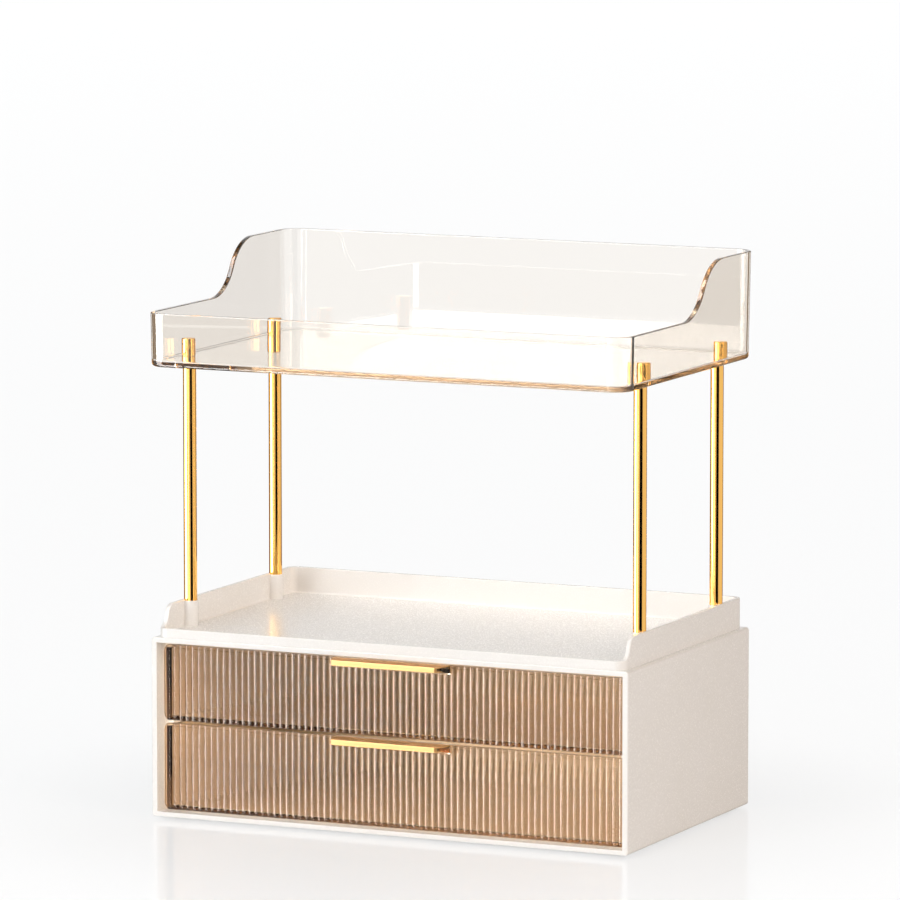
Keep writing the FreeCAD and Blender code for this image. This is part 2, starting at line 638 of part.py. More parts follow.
def make_lip(body, top):
    """The lip that carries the handle, thicker where it meets the front plate."""
    lip_top = f"( {top} - handle_cover )"
    lip_bottom = f"( {top} - handle_height + handle_cover )"
    root_bottom = f"( {lip_top} - lip_root )"
    lip_front_y = f"( {HANDLE_FRONT_Y} + handle_web )"
    flange_y = f"( {HANDLE_FRONT_Y} + handle_flange )"
    side = sketch_on(body, "lip_section", "YZ_Plane")
    outline(side, [
        (lip_front_y, lip_bottom),
        (flange_y, lip_bottom),
        (CREST_Y, root_bottom),
        (PLATE_FRONT_Y, root_bottom),
        (PLATE_FRONT_Y, lip_top),
        (lip_front_y, lip_top),
    ])
    extrude(body, side, "lip", "handle_rear_width", both=True)
    trim_ends(body, "lip_end", HANDLE_FRONT_Y, CREST_Y, top, "handle_height + lip_root")


def make_handle(name, top):
    """A gold channel that is pushed over the drawer's lip from the front."""
    body = new_body(name)
    bottom = f"( {top} - handle_height )"
    side = sketch_on(body, "channel_section", "YZ_Plane")
    outline(side, [
        (HANDLE_FRONT_Y, bottom),
        (f"( {HANDLE_FRONT_Y} + handle_flange )", bottom),
        (f"( {HANDLE_FRONT_Y} + handle_flange )", f"( {bottom} + handle_cover )"),
        (f"( {HANDLE_FRONT_Y} + handle_web )", f"( {bottom} + handle_cover )"),
        (f"( {HANDLE_FRONT_Y} + handle_web )", f"( {top} - handle_cover )"),
        (HANDLE_REAR_Y, f"( {top} - handle_cover )"),
        (HANDLE_REAR_Y, top),
        (HANDLE_FRONT_Y, top),
    ])
    extrude(body, side, "channel", "handle_rear_width", both=True)
    trim_ends(body, "handle_end", HANDLE_FRONT_Y, CREST_Y, top, "handle_height")
    return body


def build_parts():
    """Every sub-part of the organizer."""
    parts = [make_housing(), make_base_tray(), make_upper_tray()]
    foot_x = "( housing_width / 2 - foot_inset )"
    foot_y = "( housing_depth / 2 - foot_inset )"
    for place, (x, y) in CORNERS.items():
        across = f"( - {foot_x} )" if place.endswith("left") else foot_x
        along = f"( - {foot_y} )" if place.startswith("front") else foot_y
        parts.append(make_foot(place, across, along))
        parts.append(make_rod(place, x, y))
        parts.append(make_cap(place, x, y))
        parts.append(make_rod_screw(place, x, y))
    for name, bottom, top in (
        ("lower", LOWER_FRONT_BOTTOM, LOWER_FRONT_TOP),
        ("upper", UPPER_FRONT_BOTTOM, UPPER_FRONT_TOP),
    ):
        parts.append(make_drawer(name + "_drawer", bottom, top))
        parts.append(make_handle(name + "_handle", top))
    return parts


def check_document():
    """Stop if any object of the document failed to build."""
    failed = [item.Label for item in doc.Objects if {"Invalid", "Error"} & set(item.State)]
    if failed:
        raise RuntimeError(f"these objects failed: {failed}")


def export(parts):
    """Write one STEP file for each sub-part, named after its label."""
    os.makedirs("parts", exist_ok=True)
    for part in parts:
        if part.Shape.isNull() or not part.Shape.isValid():
            raise RuntimeError(f"{part.Label} has no valid shape")
    for part in parts:
        part.Shape.exportStep(f"parts/{part.Label}.step")
        print(f"{part.Label:24s} {len(part.Shape.Solids)} solid  {part.Shape.Volume:12.1f} mm3")


sub_parts = build_parts()
doc.recompute()
check_document()
export(sub_parts)
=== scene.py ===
# %% [markdown]
# # A makeup organizer with two fluted drawers
# The real object is a moulded white housing with two tea-coloured acrylic drawers, a white
# tray on its roof, four gold rods and a clear tray that they carry. The solids of the
# housing, the rods and the drawers come from the CAD model, which is loaded here as a fixed
# frame. This notebook gives each piece the soft edges, the flutes and the finishes that the
# eye looks for, and never moves or resizes the frame.

import math
from functools import partial

import bmesh
import bpy
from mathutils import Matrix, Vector


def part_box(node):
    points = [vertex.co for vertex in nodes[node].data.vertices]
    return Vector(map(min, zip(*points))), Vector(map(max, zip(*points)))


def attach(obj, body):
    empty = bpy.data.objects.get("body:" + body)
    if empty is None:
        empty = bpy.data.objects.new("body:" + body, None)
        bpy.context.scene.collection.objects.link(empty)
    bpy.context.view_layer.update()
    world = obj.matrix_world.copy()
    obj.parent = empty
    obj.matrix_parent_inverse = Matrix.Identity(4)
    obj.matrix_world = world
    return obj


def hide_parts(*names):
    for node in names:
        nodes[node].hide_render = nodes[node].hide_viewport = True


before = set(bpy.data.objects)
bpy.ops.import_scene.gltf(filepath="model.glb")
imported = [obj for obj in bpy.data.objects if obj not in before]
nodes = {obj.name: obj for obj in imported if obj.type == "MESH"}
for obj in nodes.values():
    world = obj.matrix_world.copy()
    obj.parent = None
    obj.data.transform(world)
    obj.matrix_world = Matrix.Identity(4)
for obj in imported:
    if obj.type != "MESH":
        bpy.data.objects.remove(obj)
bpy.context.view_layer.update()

# %% [markdown]
# ## Two small helpers
# Colours are easiest to read as the hex codes that a paint program shows, but a renderer
# adds up light, so each code is turned to linear values first. Every material and every
# Geometry Nodes tree below is built from nodes, so one function adds a node, sets it and
# links it in a single call.

# %% Helpers for colours and nodes
# Lengths in metres: a millimetre, then two within which points are joined. TINY only joins
# copies of one point, and WELD also joins corners that rounding has moved apart.
MM, TINY, WELD = 0.001, 1e-7, 1e-6


def linear(code):
    """Linear RGBA of an sRGB hex code."""
    shares = [int(code[i : i + 2], 16) / 255 for i in (0, 2, 4)]
    return [s / 12.92 if s <= 0.04045 else ((s + 0.055) / 1.055) ** 2.4 for s in shares] + [1.0]


def add_node(tree, kind, inputs=None, **settings):
    """Add a node, set its properties, then fill or link its inputs by name or number."""
    node = tree.nodes.new(kind)
    for name, setting in settings.items():
        setattr(node, name, setting)
    for key, source in (inputs or {}).items():
        if isinstance(source, bpy.types.NodeSocket):
            tree.links.new(source, node.inputs[key])
        else:
            node.inputs[key].default_value = source
    return node


print("white ABS in linear values:", [round(c, 3) for c in linear("F6F4F2")])

# %% [markdown]
# ## The camera
# A long lens from far away keeps the uprights nearly parallel, which is how catalogue
# pictures of boxes are taken. The camera stands to the right of the front and a little
# above the object.

# %% Camera
camera = bpy.data.objects.new("camera", bpy.data.cameras.new("camera"))
bpy.context.scene.collection.objects.link(camera)
camera.data.sensor_width = 36.0
camera.data.lens = 286.4
camera.data.clip_end = 100.0
camera.location = (1.7735, -3.8543, 0.7832)
yaw, pitch = math.radians(24.72), math.radians(7.56)
level = math.cos(pitch)
gaze = Vector((-math.sin(yaw) * level, math.cos(yaw) * level, -math.sin(pitch)))
camera.rotation_euler = gaze.to_track_quat("-Z", "Y").to_euler()
bpy.context.scene.camera = camera
bpy.context.scene.view_settings.view_transform = "Standard"
# Light crosses many acrylic faces in a drawer, so it may bounce more often than usual.
cycles = bpy.context.scene.cycles
cycles.max_bounces = 48
cycles.diffuse_bounces = 6
cycles.glossy_bounces = cycles.transmission_bounces = 40
cycles.transparent_max_bounces = 32
print("camera distance, m:", round(camera.location.length, 2))

# %% [markdown]
# ## Light for a white object, clear acrylic and polished gold
# White plastic only needs soft light from the front left, so that the side turned to the
# right falls a step darker and the box reads as a box. A warmer fill keeps that side from
# going grey. Clear acrylic and gold show what stands round them instead, so the set has a
# bright world and upright cards: a black one draws the dark line down each rod, warm brown
# ones behind colour the outer edges of gold and acrylic, and two lit softboxes give the
# bright stripes. The cards show only in reflections and throw no shadow.
#
# Two switches on the light path keep these jobs apart. The eye sees a bright world and
# floor, but matt surfaces are lit by a dimmer world, so that they keep their shading. Light
# that reaches a matt surface through acrylic meets a much brighter floor, which fills the
# inside of the drawers.

# %% World and lamps
def two_inputs(tree, operation, first, second):
    """The result of a Math node."""
    return add_node(tree, "ShaderNodeMath", {0: first, 1: second}, operation=operation).outputs[0]


def ray_kinds(tree):
    """Two switches: rays that the eye follows, straight or by way of gloss and acrylic, and
    rays that light a matt surface through acrylic."""
    path = add_node(tree, "ShaderNodeLightPath").outputs
    lights = two_inputs(tree, "GREATER_THAN", path["Diffuse Depth"], 0.5)
    bent = two_inputs(tree, "MAXIMUM", path["Is Transmission Ray"], path["Is Glossy Ray"])
    followed = two_inputs(tree, "MAXIMUM", path["Is Camera Ray"], bent)
    seen = two_inputs(tree, "MULTIPLY", followed, two_inputs(tree, "SUBTRACT", 1.0, lights))
    return seen, two_inputs(tree, "MULTIPLY", path["Is Transmission Ray"], lights)


# The world's strength as a lamp, and as the eye sees it.
DIM, BRIGHT = 0.42, 1.0
# The floor's glow as the eye sees it, as it lights the inside of the drawers, and the share
# that the glow has in the floor's look.
FLOOR_GLOW, FLOOR_GLOW_INSIDE, GLOW_SHARE = 1.18, 14.0, 0.56
# A point a little below the middle of the object, which both lamps face.
LAMP_TARGET = Vector((0, 0, 0.12))
WHITE = "FFFFFF"
world = bpy.data.worlds.new("white_studio")
bpy.context.scene.world = world
world.use_nodes = True
tree = world.node_tree
tree.nodes.clear()
seen, _ = ray_kinds(tree)
strength = two_inputs(tree, "ADD", DIM, two_inputs(tree, "MULTIPLY", seen, BRIGHT - DIM))
sky = add_node(tree, "ShaderNodeBackground", {"Color": linear(WHITE), "Strength": strength})
add_node(tree, "ShaderNodeOutputWorld", {"Surface": sky.outputs[0]})


def soft_lamp(name, place, size, watts, colour=WHITE):
    """A square area lamp that faces the object."""
    data = bpy.data.lights.new(name, "AREA")
    data.shape, data.size, data.energy = "SQUARE", size, watts
    data.color = linear(colour)[:3]
    lamp = bpy.data.objects.new(name, data)
    bpy.context.scene.collection.objects.link(lamp)
    lamp.location = place
    lamp.rotation_euler = (LAMP_TARGET - Vector(place)).to_track_quat("-Z", "Y").to_euler()


soft_lamp("key", (-0.8, -2.5, 0.8), 1.3, 30)
soft_lamp("fill", (2.1, -0.9, 0.9), 1.2, 22, "FFEBDA")

# %% Floor and cards
def sheet_mesh(name, corners, material):
    """A flat four-cornered sheet of the set."""
    mesh = bpy.data.meshes.new(name)
    mesh.from_pydata(corners, [], [(0, 1, 2, 3)])
    mesh.materials.append(material)
    sheet = bpy.data.objects.new(name, mesh)
    bpy.context.scene.collection.objects.link(sheet)
    return sheet


def new_material(name):
    """An empty node material and its tree."""
    material = bpy.data.materials.new(name)
    material.use_nodes = True
    material.node_tree.nodes.clear()
    return material, material.node_tree


def mix_shaders(tree, share, first, second):
    """The mix of two shaders, of which share is the part of the second."""
    inputs = {0: share, 1: first.outputs[0], 2: second.outputs[0]}
    return add_node(tree, "ShaderNodeMixShader", inputs).outputs[0]


def finish_material(tree, surface, volume=None):
    """Link a surface, and a volume where there is one, to the material's output."""
    inputs = {"Surface": surface}
    if volume:
        inputs["Volume"] = volume
    add_node(tree, "ShaderNodeOutputMaterial", inputs)


white_floor, tree = new_material("glossy_white_floor")
lacquer = add_node(tree, "ShaderNodeBsdfPrincipled", {
    "Base Color": linear("F0F3F6"), "Roughness": 0.12, "Specular IOR Level": 0.5})
seen, inside = ray_kinds(tree)
extra = two_inputs(tree, "MULTIPLY", inside, FLOOR_GLOW_INSIDE - FLOOR_GLOW)
strength = two_inputs(tree, "ADD", FLOOR_GLOW, extra)
position = add_node(tree, "ShaderNodeNewGeometry").outputs["Position"]
length = add_node(tree, "ShaderNodeVectorMath", {0: position}, operation="LENGTH")
# Painted shadow round the box: the floor's glow dims with distance from the object's middle, down
# to 0.88 close to it, standing in for studio light that the box keeps off the lacquer.
painted_shadow_near_box = add_node(tree, "ShaderNodeMapRange", {
    "Value": length.outputs["Value"], "From Min": 0.12, "From Max": 0.36,
    "To Min": 0.88, "To Max": 1.0}, interpolation_type="SMOOTHSTEP").outputs[0]
strength = two_inputs(tree, "MULTIPLY", strength, painted_shadow_near_box)
glow = add_node(tree, "ShaderNodeEmission", {"Color": linear(WHITE), "Strength": strength})
share = two_inputs(tree, "MULTIPLY", two_inputs(tree, "MAXIMUM", seen, inside), GLOW_SHARE)
finish_material(tree, mix_shaders(tree, share, lacquer, glow))
FLOOR_HALF, CARD_HALF_HEIGHT, CARD_DISTANCE = 20.0, 3.0, 1.15
floor = sheet_mesh("floor", [
    (-FLOOR_HALF, -FLOOR_HALF, 0), (FLOOR_HALF, -FLOOR_HALF, 0),
    (FLOOR_HALF, FLOOR_HALF, 0), (-FLOOR_HALF, FLOOR_HALF, 0)], white_floor)
# Reflections pass through the floor, so what faces down mirrors the cards as well.
floor.visible_glossy = False


def plain_card(name, strength, colour=WHITE):
    """The even face of a card, from black at 0 to a lit softbox, which only reflections show."""
    material, tree = new_material(name)
    face = add_node(tree, "ShaderNodeEmission", {"Color": linear(colour), "Strength": strength})
    mirrored = add_node(tree, "ShaderNodeLightPath").outputs["Glossy Depth"]
    unreflected = two_inputs(tree, "LESS_THAN", mirrored, 0.5)
    clear = add_node(tree, "ShaderNodeBsdfTransparent")
    finish_material(tree, mix_shaders(tree, unreflected, face, clear))
    return material


black = plain_card("black_card", 0.0)
warm_brown = plain_card("warm_brown_card", 0.3, "E8C090")
softbox, dim_softbox = plain_card("softbox_card", 12.0), plain_card("dim_softbox_card", 7.0)


def card(name, material, azimuth, width):
    """An upright card round the object, at an angle in degrees to the right of the front."""
    a = math.radians(azimuth)
    middle = Vector((math.sin(a), -math.cos(a), 0)) * CARD_DISTANCE
    along = Vector((math.cos(a), math.sin(a), 0)) * width / 2
    up = Vector((0, 0, CARD_HALF_HEIGHT))
    corners = [middle - along - up, middle + along - up, middle + along + up, middle - along + up]
    sheet = sheet_mesh(name, corners, material)
    sheet.visible_camera = sheet.visible_diffuse = sheet.visible_shadow = False


card("card_front_right", black, 44, 0.9)
card("card_rear_left", warm_brown, -113, 0.9)
card("card_rear_right", warm_brown, 165, 0.75)
card("softbox_left", softbox, -53, 0.72)
card("softbox_front", dim_softbox, -9, 0.14)

# %% [markdown]
# ## White ABS
# The housing and the lower tray are injection-moulded ABS with a gloss finish. Such plastic
# is never one flat white: the melt leaves very faint clouds, and the polished tool leaves a
# skin with shallow waves that soften its reflections. Noise drives both, at the size of a
# few centimetres for the clouds and under a millimetre for the skin.

# %% White ABS material
# Socket numbers of a Mix node that is set to colours.
MIX_A, MIX_B, MIXED = 6, 7, 2


def mix_colours(tree, noise, first, second):
    """A colour that a noise pattern moves between two hex codes."""
    mixed = add_node(tree, "ShaderNodeMix", {
        "Factor": noise.outputs["Fac"], MIX_A: linear(first), MIX_B: linear(second)},
        data_type="RGBA")
    return mixed.outputs[MIXED]


def noise_pattern(tree, place, size, detail):
    """Noise whose pattern is size millimetres wide."""
    return add_node(tree, "ShaderNodeTexNoise", {
        "Vector": place, "Scale": 1 / (size * MM), "Detail": detail})


def moulded_plastic(name, light, dark, roughness, clouds=30.0, skin=0.7):
    """Gloss moulded plastic. clouds and skin are pattern sizes in millimetres."""
    material, tree = new_material(name)
    place = add_node(tree, "ShaderNodeTexCoord").outputs["Object"]
    colour = mix_colours(tree, noise_pattern(tree, place, clouds, 2.0), dark, light)
    grain = noise_pattern(tree, place, skin, 2.0)
    rough = add_node(tree, "ShaderNodeMapRange", {
        "Value": grain.outputs["Fac"], "To Min": roughness - 0.04, "To Max": roughness + 0.05})
    bump = add_node(tree, "ShaderNodeBump", {
        "Height": grain.outputs["Fac"], "Strength": 0.05, "Distance": 0.01 * MM})
    shader = add_node(tree, "ShaderNodeBsdfPrincipled", {
        "Base Color": colour, "Roughness": rough.outputs[0], "Normal": bump.outputs[0],
        "IOR": 1.53})
    finish_material(tree, shader.outputs[0])
    return material


# Gloss white ABS: a bright, barely warm body with a soft wide highlight.
white_abs = moulded_plastic("moulded_white_abs", "F6F4F2", "F3F1ED", 0.26)
# Silicone feet: pale, dull and rubbery.
silicone = moulded_plastic("silicone_pad", "D9D6D0", "C9C6C0", 0.55)
print("made", white_abs.name, "and", silicone.name)

# %% [markdown]
# ## Acrylic, clear and tea-coloured
# Both kinds are cast PMMA with an IOR of 1.49. Each face tints what passes through it a
# little, and an absorbing volume adds the colour that deepens along an edge, where light has
# run the length of the sheet. Glass in a path tracer blocks the lamps, so for shadow rays the
# surface turns transparent and light reaches what stands behind it.

# %% Acrylic material
def acrylic(name, sheet, edge, density, roughness, waves, depth):
    """Cast acrylic. sheet tints each face, and edge the way through it, with its density per
    metre. waves is the size of the surface's swell and depth its height, in millimetres."""
    material, tree = new_material(name)
    place = add_node(tree, "ShaderNodeTexCoord").outputs["Object"]
    wave = noise_pattern(tree, place, waves, 1.0)
    bump = add_node(tree, "ShaderNodeBump", {
        "Height": wave.outputs["Fac"], "Strength": 0.3, "Distance": depth * MM})
    smear = add_node(tree, "ShaderNodeMapRange", {
        "Value": wave.outputs["Fac"], "To Min": roughness * 0.5, "To Max": roughness * 1.5})
    shader = add_node(tree, "ShaderNodeBsdfPrincipled", {
        "Base Color": linear(sheet), "Roughness": smear.outputs[0], "IOR": 1.49,
        "Transmission Weight": 1.0, "Normal": bump.outputs[0]})
    clear = add_node(tree, "ShaderNodeBsdfTransparent")
    shadow_ray = add_node(tree, "ShaderNodeLightPath").outputs["Is Shadow Ray"]
    mixed = mix_shaders(tree, shadow_ray, shader, clear)
    body = add_node(tree, "ShaderNodeVolumeAbsorption", {"Color": linear(edge), "Density": density})
    finish_material(tree, mixed, body.outputs[0])
    return material


# Clear acrylic: water-white in the wall, faintly warm along its edges.
clear_acrylic = acrylic("cast_clear_acrylic", "FCF9F5", "CDB48A", 10.0, 0.01, 9.0, 0.01)
# Tea-coloured acrylic: a warm amber that deepens where the flutes and floors are thick.
amber_acrylic = acrylic("cast_tea_acrylic", "ECDCC6", "CB9B00", 8.0, 0.015, 14.0, 0.004)
print("made", clear_acrylic.name, "and", amber_acrylic.name)

# %% [markdown]
# ## Gold and steel
# The rods and caps are turned from brass bar, polished and gold-plated: nearly a mirror,
# with turning marks too fine to see that stretch its highlights a little. The handles are
# anodised aluminium with a satin face, brushed along its length.

# %% Metal materials
def metal(name, colour, shade, roughness, grain, stretch, depth):
    """Metal with a directional grain. grain is its size and depth its height in millimetres,
    and stretch divides its size along each axis."""
    material, tree = new_material(name)
    place = add_node(tree, "ShaderNodeTexCoord").outputs["Object"]
    along = add_node(tree, "ShaderNodeMapping", {"Vector": place, "Scale": stretch})
    lines = noise_pattern(tree, along.outputs[0], grain, 3.0)
    tone = mix_colours(tree, lines, shade, colour)
    rough = add_node(tree, "ShaderNodeMapRange", {
        "Value": lines.outputs["Fac"], "To Min": roughness * 0.8, "To Max": roughness * 1.2})
    bump = add_node(tree, "ShaderNodeBump", {
        "Height": lines.outputs["Fac"], "Strength": 0.2, "Distance": depth * MM})
    shader = add_node(tree, "ShaderNodeBsdfPrincipled", {
        "Base Color": tone, "Metallic": 1.0, "Roughness": rough.outputs[0],
        "Normal": bump.outputs[0]})
    finish_material(tree, shader.outputs[0])
    return material


# Polished gold plate: bright yellow, with a dark line and brown edges that mirror the cards.
gold_plate = metal("polished_gold_plate", "F6C16C", "EEB35C", 0.10, 0.4, (1.0, 1.0, 6.0), 0.004)
# Satin gold anodising: an even, warm gold with a fine lengthwise brush.
satin_gold = metal("satin_gold_anodising", "E6B97E", "DDAE72", 0.30, 0.25, (0.04, 1.0, 1.0), 0.01)
# Zinc-plated steel of the hidden screws: plain grey metal.
zinc_steel = metal("zinc_plated_steel", "C9CCD0", "B4B8BE", 0.32, 0.3, (1.0, 1.0, 1.0), 0.01)
print("made", gold_plate.name, satin_gold.name, zinc_steel.name)

# %% [markdown]
# ## Soft edges on flat-sided pieces
# A moulded or milled edge is never a perfect corner: a radius of a few tenths of a
# millimetre catches a thin line of light, and without it a render looks cut from card. The
# CAD mesh is loose triangles, so a copy is merged, its flat faces are joined, and a Bevel
# modifier rounds what is left. The copy then stands for the CAD node.

# %% Rounded copies of CAD nodes
def link_piece(name, mesh, material):
    """A new object at the origin with one material."""
    mesh.name = name
    mesh.materials.clear()
    mesh.materials.append(material)
    piece = bpy.data.objects.new(name, mesh)
    bpy.context.scene.collection.objects.link(piece)
    return piece


def bake(piece):
    """Turn a piece's modifiers into a plain mesh."""
    shown = piece.evaluated_get(bpy.context.evaluated_depsgraph_get())
    mesh = bpy.data.meshes.new_from_object(shown)
    piece.modifiers.clear()
    piece.data = mesh


def shade(piece, degrees):
    """Smooth faces with sharp edges past an angle. Wide faces keep a flat normal up to their
    edges, so a flat acrylic wall doesn't bend light like a lens."""
    mesh = piece.data
    mesh.polygons.foreach_set("use_smooth", [True] * len(mesh.polygons))
    mesh.set_sharp_from_angle(angle=math.radians(degrees))
    weighted = piece.modifiers.new("flat_walls", "WEIGHTED_NORMAL")
    weighted.mode, weighted.weight, weighted.keep_sharp = "FACE_AREA", 100, True
    bake(piece)


def rounded_copy(node, name, material, body, radius, segments=3):
    """A copy of a CAD node with soft edges. radius is in millimetres."""
    made = bmesh.new()
    made.from_mesh(nodes[node].data)
    bmesh.ops.remove_doubles(made, verts=made.verts, dist=WELD)
    bmesh.ops.dissolve_limit(
        made, angle_limit=math.radians(0.5), verts=made.verts, edges=made.edges)
    mesh = bpy.data.meshes.new(name)
    made.to_mesh(mesh)
    made.free()
    piece = link_piece(name, mesh, material)
    bevel = piece.modifiers.new("soft_edges", "BEVEL")
    bevel.width, bevel.segments = radius * MM, segments
    bevel.limit_method, bevel.angle_limit = "ANGLE", math.radians(32)
    bake(piece)
    shade(piece, 35)
    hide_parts(node)
    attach(piece, body)
    print(name, "faces:", len(piece.data.polygons))


rounded_copy("housing", "housing_shell", white_abs, "cabinet", 0.5)
for level in ("upper", "lower"):
    rounded_copy(
        level + "_handle", level + "_handle_strip", satin_gold, level + "_drawer_unit",
        0.22)

# %% [markdown]
# ## Rods and caps
# Four rods and four caps are the same turned shape at four corners, which is a job for
# Geometry Nodes. A line of points holds the heights of the turned profile and an attribute
# holds its radii; the tree sweeps a circle along it, as a lathe would, and sets one copy on
# each corner. The rods run from the sockets of the lower tray to the underside of the upper
# tray, and each cap screws into its rod through the clear floor.

# %% Turned parts with Geometry Nodes
def new_tree(name, sizes):
    """A Geometry Nodes tree with a named input for each size."""
    tree = bpy.data.node_groups.new(name, "GeometryNodeTree")
    tree.interface.new_socket("Geometry", in_out="INPUT", socket_type="NodeSocketGeometry")
    for label, kind in sizes.items():
        tree.interface.new_socket(label, in_out="INPUT", socket_type=kind)
    tree.interface.new_socket("Geometry", in_out="OUTPUT", socket_type="NodeSocketGeometry")
    return tree, tree.nodes.new("NodeGroupInput").outputs


def grow(piece, tree, sizes):
    """Run a tree on a piece with the given inputs, then keep the plain mesh."""
    modifier = piece.modifiers.new(tree.name, "NODES")
    modifier.node_group = tree
    for item in tree.interface.items_tree:
        if item.item_type == "SOCKET" and item.in_out == "INPUT" and item.name in sizes:
            modifier[item.identifier] = sizes[item.name]
    bake(piece)
    # The seed's empty slot comes out beside the tree's finish, so one slot is kept.
    piece.data.materials.clear()
    piece.data.materials.append(sizes["Finish"])
    piece.data.polygons.foreach_set("material_index", [0] * len(piece.data.polygons))


def face_outwards(mesh, name, merge=0.0, slivers=0.0):
    """Turn a mesh's faces outwards. Points closer than merge, in metres, are joined first,
    and edges shorter than slivers are taken out."""
    made = bmesh.new()
    made.from_mesh(mesh)
    if merge:
        bmesh.ops.remove_doubles(made, verts=made.verts, dist=merge)
    if slivers:
        bmesh.ops.dissolve_degenerate(made, dist=slivers, edges=made.edges)
    bmesh.ops.recalc_face_normals(made, faces=made.faces)
    open_edges = sum(1 for edge in made.edges if not edge.is_manifold)
    made.to_mesh(mesh)
    made.free()
    print(name, "faces:", len(mesh.polygons), "open edges:", open_edges)


turned, given = new_tree("turned_at_corners", {
    "Spacing X": "NodeSocketFloat", "Spacing Y": "NodeSocketFloat", "Middle Y": "NodeSocketFloat",
    "Facets": "NodeSocketInt", "Finish": "NodeSocketMaterial"})
line = add_node(turned, "GeometryNodeMeshToCurve", {0: given["Geometry"]})
radius = add_node(
    turned, "GeometryNodeInputNamedAttribute", {0: "turning_radius"}, data_type="FLOAT")
circle = add_node(turned, "GeometryNodeCurvePrimitiveCircle", {
    "Resolution": given["Facets"], "Radius": 1.0})
shape = add_node(turned, "GeometryNodeCurveToMesh", {
    "Curve": line.outputs[0], "Profile Curve": circle.outputs[0], "Scale": radius.outputs[0],
    "Fill Caps": True})
corners = add_node(turned, "GeometryNodeMeshGrid", {
    0: given["Spacing X"], 1: given["Spacing Y"], 2: 2, 3: 2})
offset = add_node(turned, "ShaderNodeCombineXYZ", {"Y": given["Middle Y"]})
placed = add_node(turned, "GeometryNodeTransform", {
    "Geometry": corners.outputs[0], "Translation": offset.outputs[0]})
copies = add_node(turned, "GeometryNodeInstanceOnPoints", {
    "Points": placed.outputs[0], "Instance": shape.outputs[0]})


def finish_tree(tree, geometry, finish):
    """Make a tree's instances real, give them their finish and hand them on."""
    real = add_node(tree, "GeometryNodeRealizeInstances", {0: geometry})
    coated = add_node(tree, "GeometryNodeSetMaterial", {
        "Geometry": real.outputs[0], "Material": finish})
    add_node(tree, "NodeGroupOutput", {0: coated.outputs[0]})


finish_tree(turned, copies.outputs[0], given["Finish"])


def turned_set(name, profile, material, replaced):
    """Four turned parts. profile lists (height, radius) in millimetres from the bottom up."""
    mesh = bpy.data.meshes.new(name)
    links = [(i, i + 1) for i in range(len(profile) - 1)]
    mesh.from_pydata([(0, 0, z * MM) for z, _ in profile], links, [])
    radii = mesh.attributes.new("turning_radius", "FLOAT", "POINT")
    radii.data.foreach_set("value", [r * MM for _, r in profile])
    piece = link_piece(name, mesh, material)
    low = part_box(replaced + "_front_left")
    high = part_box(replaced + "_rear_right")
    middle_low = [(a + b) / 2 for a, b in zip(*low)]
    middle_high = [(a + b) / 2 for a, b in zip(*high)]
    spacing_x, spacing_y = middle_high[0] - middle_low[0], middle_high[1] - middle_low[1]
    grow(piece, turned, {
        "Spacing X": spacing_x, "Spacing Y": spacing_y,
        "Middle Y": (middle_high[1] + middle_low[1]) / 2, "Facets": 64, "Finish": material})
    face_outwards(piece.data, name)
    shade(piece, 40)
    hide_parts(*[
        f"{replaced}_{end}_{side}" for end in ("front", "rear") for side in ("left", "right")])
    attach(piece, "cabinet")
    print(name, "spacing, mm:", round(1000 * spacing_x, 1), round(1000 * spacing_y, 1))


def rounded_end(height, radius, edge, upwards, steps=5):
    """Profile points of a turned end whose corner is rounded."""
    turns = [math.radians(90 * i / steps) for i in range(steps + 1)]
    z, r = height - edge, radius - edge
    points = [(z + edge * math.sin(t), r + edge * math.cos(t)) for t in turns]
    return points if upwards else [(2 * height - z, r) for z, r in reversed(points)]


# Heights of the rods' two ends and of the caps' stud, seat and top, then radii, all in mm.
ROD_FOOT, ROD_TOP, STUD_TIP, CAP_SEAT, CAP_TOP = 112.5, 273.0, 264.0, 276.0, 286.5
ROD_RADIUS, STUD_RADIUS, CAP_RADIUS = 4.0, 2.0, 4.15
rod_profile = (
    rounded_end(ROD_FOOT, ROD_RADIUS, 0.3, False) + rounded_end(ROD_TOP, ROD_RADIUS, 0.3, True))
stud_profile = [
    (STUD_TIP, STUD_RADIUS - 0.3), (STUD_TIP + 0.4, STUD_RADIUS), (CAP_SEAT, STUD_RADIUS)]
cap_profile = (
    stud_profile + rounded_end(CAP_SEAT, CAP_RADIUS, 0.15, False, 2)
    + rounded_end(CAP_TOP, CAP_RADIUS, 0.9, True, 6))
turned_set("rods", rod_profile, gold_plate, "rod")
turned_set("rod_caps", cap_profile, gold_plate, "rod_cap")

# %% [markdown]
# ## Two trays from one rule
# Both trays are thin shells on a rounded rectangle, whose rim runs low across the front,
# climbs each side in an S-curve of two arcs and stays high behind. Because both follow the
# same rule, one function lofts them: it walks round the outline once, and at each stop
# stacks points from the underside, up the outer wall, over the rim and down to the floor.
# The rim's rounding is set off square to the S-curve, so it keeps its width on the slope.

# %% Loft a tray
def s_curve(y, start, run, low, high):
    """Height of the rim at y, and its slope, for two equal arcs that meet halfway."""
    if high == low:
        return low, 0.0
    rise, half = (high - low) / 2, run / 2
    radius = (half * half + rise * rise) / (2 * rise)
    u = min(max(y - start, 0.0), run)
    if u <= half:
        drop = math.sqrt(radius * radius - u * u)
        return low + radius - drop, u / drop
    drop = math.sqrt(radius * radius - (run - u) ** 2)
    return high - radius + drop, (run - u) / drop


